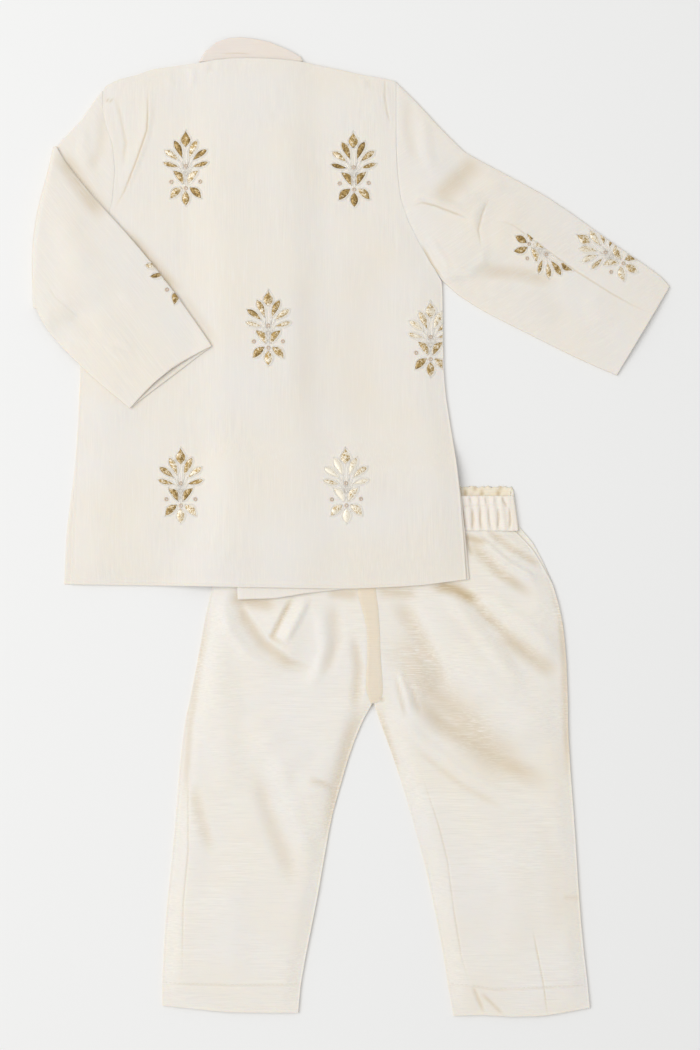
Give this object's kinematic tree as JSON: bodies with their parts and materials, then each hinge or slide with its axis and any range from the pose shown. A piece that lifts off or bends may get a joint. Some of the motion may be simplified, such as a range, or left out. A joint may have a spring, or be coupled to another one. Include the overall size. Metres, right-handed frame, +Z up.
{
  "type": "child's sherwani set laid flat",
  "caption": "Toddler's festive coat with a band collar and long sleeves, laid face down over its elastic-waist trousers, one sleeve folded across the back.",
  "frame": {"origin": "middle of the underside of the whole set, on the surface it lies on", "axes": "+Y from the trouser hems towards the coat's collar, +X towards the sleeve that lies out to the side, +Z up from the surface, out of the coat's back"},
  "size_m": [0.5094, 0.7822, 0.012],
  "materials": {
    "coat_cloth": "ivory art silk with fine upright slubs, low sheen",
    "collar_cloth": "blush ivory silk, low sheen",
    "trouser_silk": "ivory dupion with level slubs, soft satin sheen",
    "button_brass": "antique gold, brushed",
    "zari": "gold metal thread and cord embroidery, glinting"
  },
  "bodies": {
    "root": {"coat_back": "coat_cloth", "coat_front_left": "coat_cloth", "coat_front_right": "coat_cloth", "coat_collar": "collar_cloth", "sleeve_right": "coat_cloth", "sleeve_left": "coat_cloth", "button_1": "button_brass", "button_2": "button_brass", "button_3": "button_brass", "button_4": "button_brass", "button_5": "button_brass", "button_6": "button_brass", "button_7": "button_brass", "trouser_front_left": "trouser_silk", "trouser_back_left": "trouser_silk", "trouser_front_right": "trouser_silk", "trouser_back_right": "trouser_silk", "waistband": "trouser_silk"}
  },
  "joints": []
}
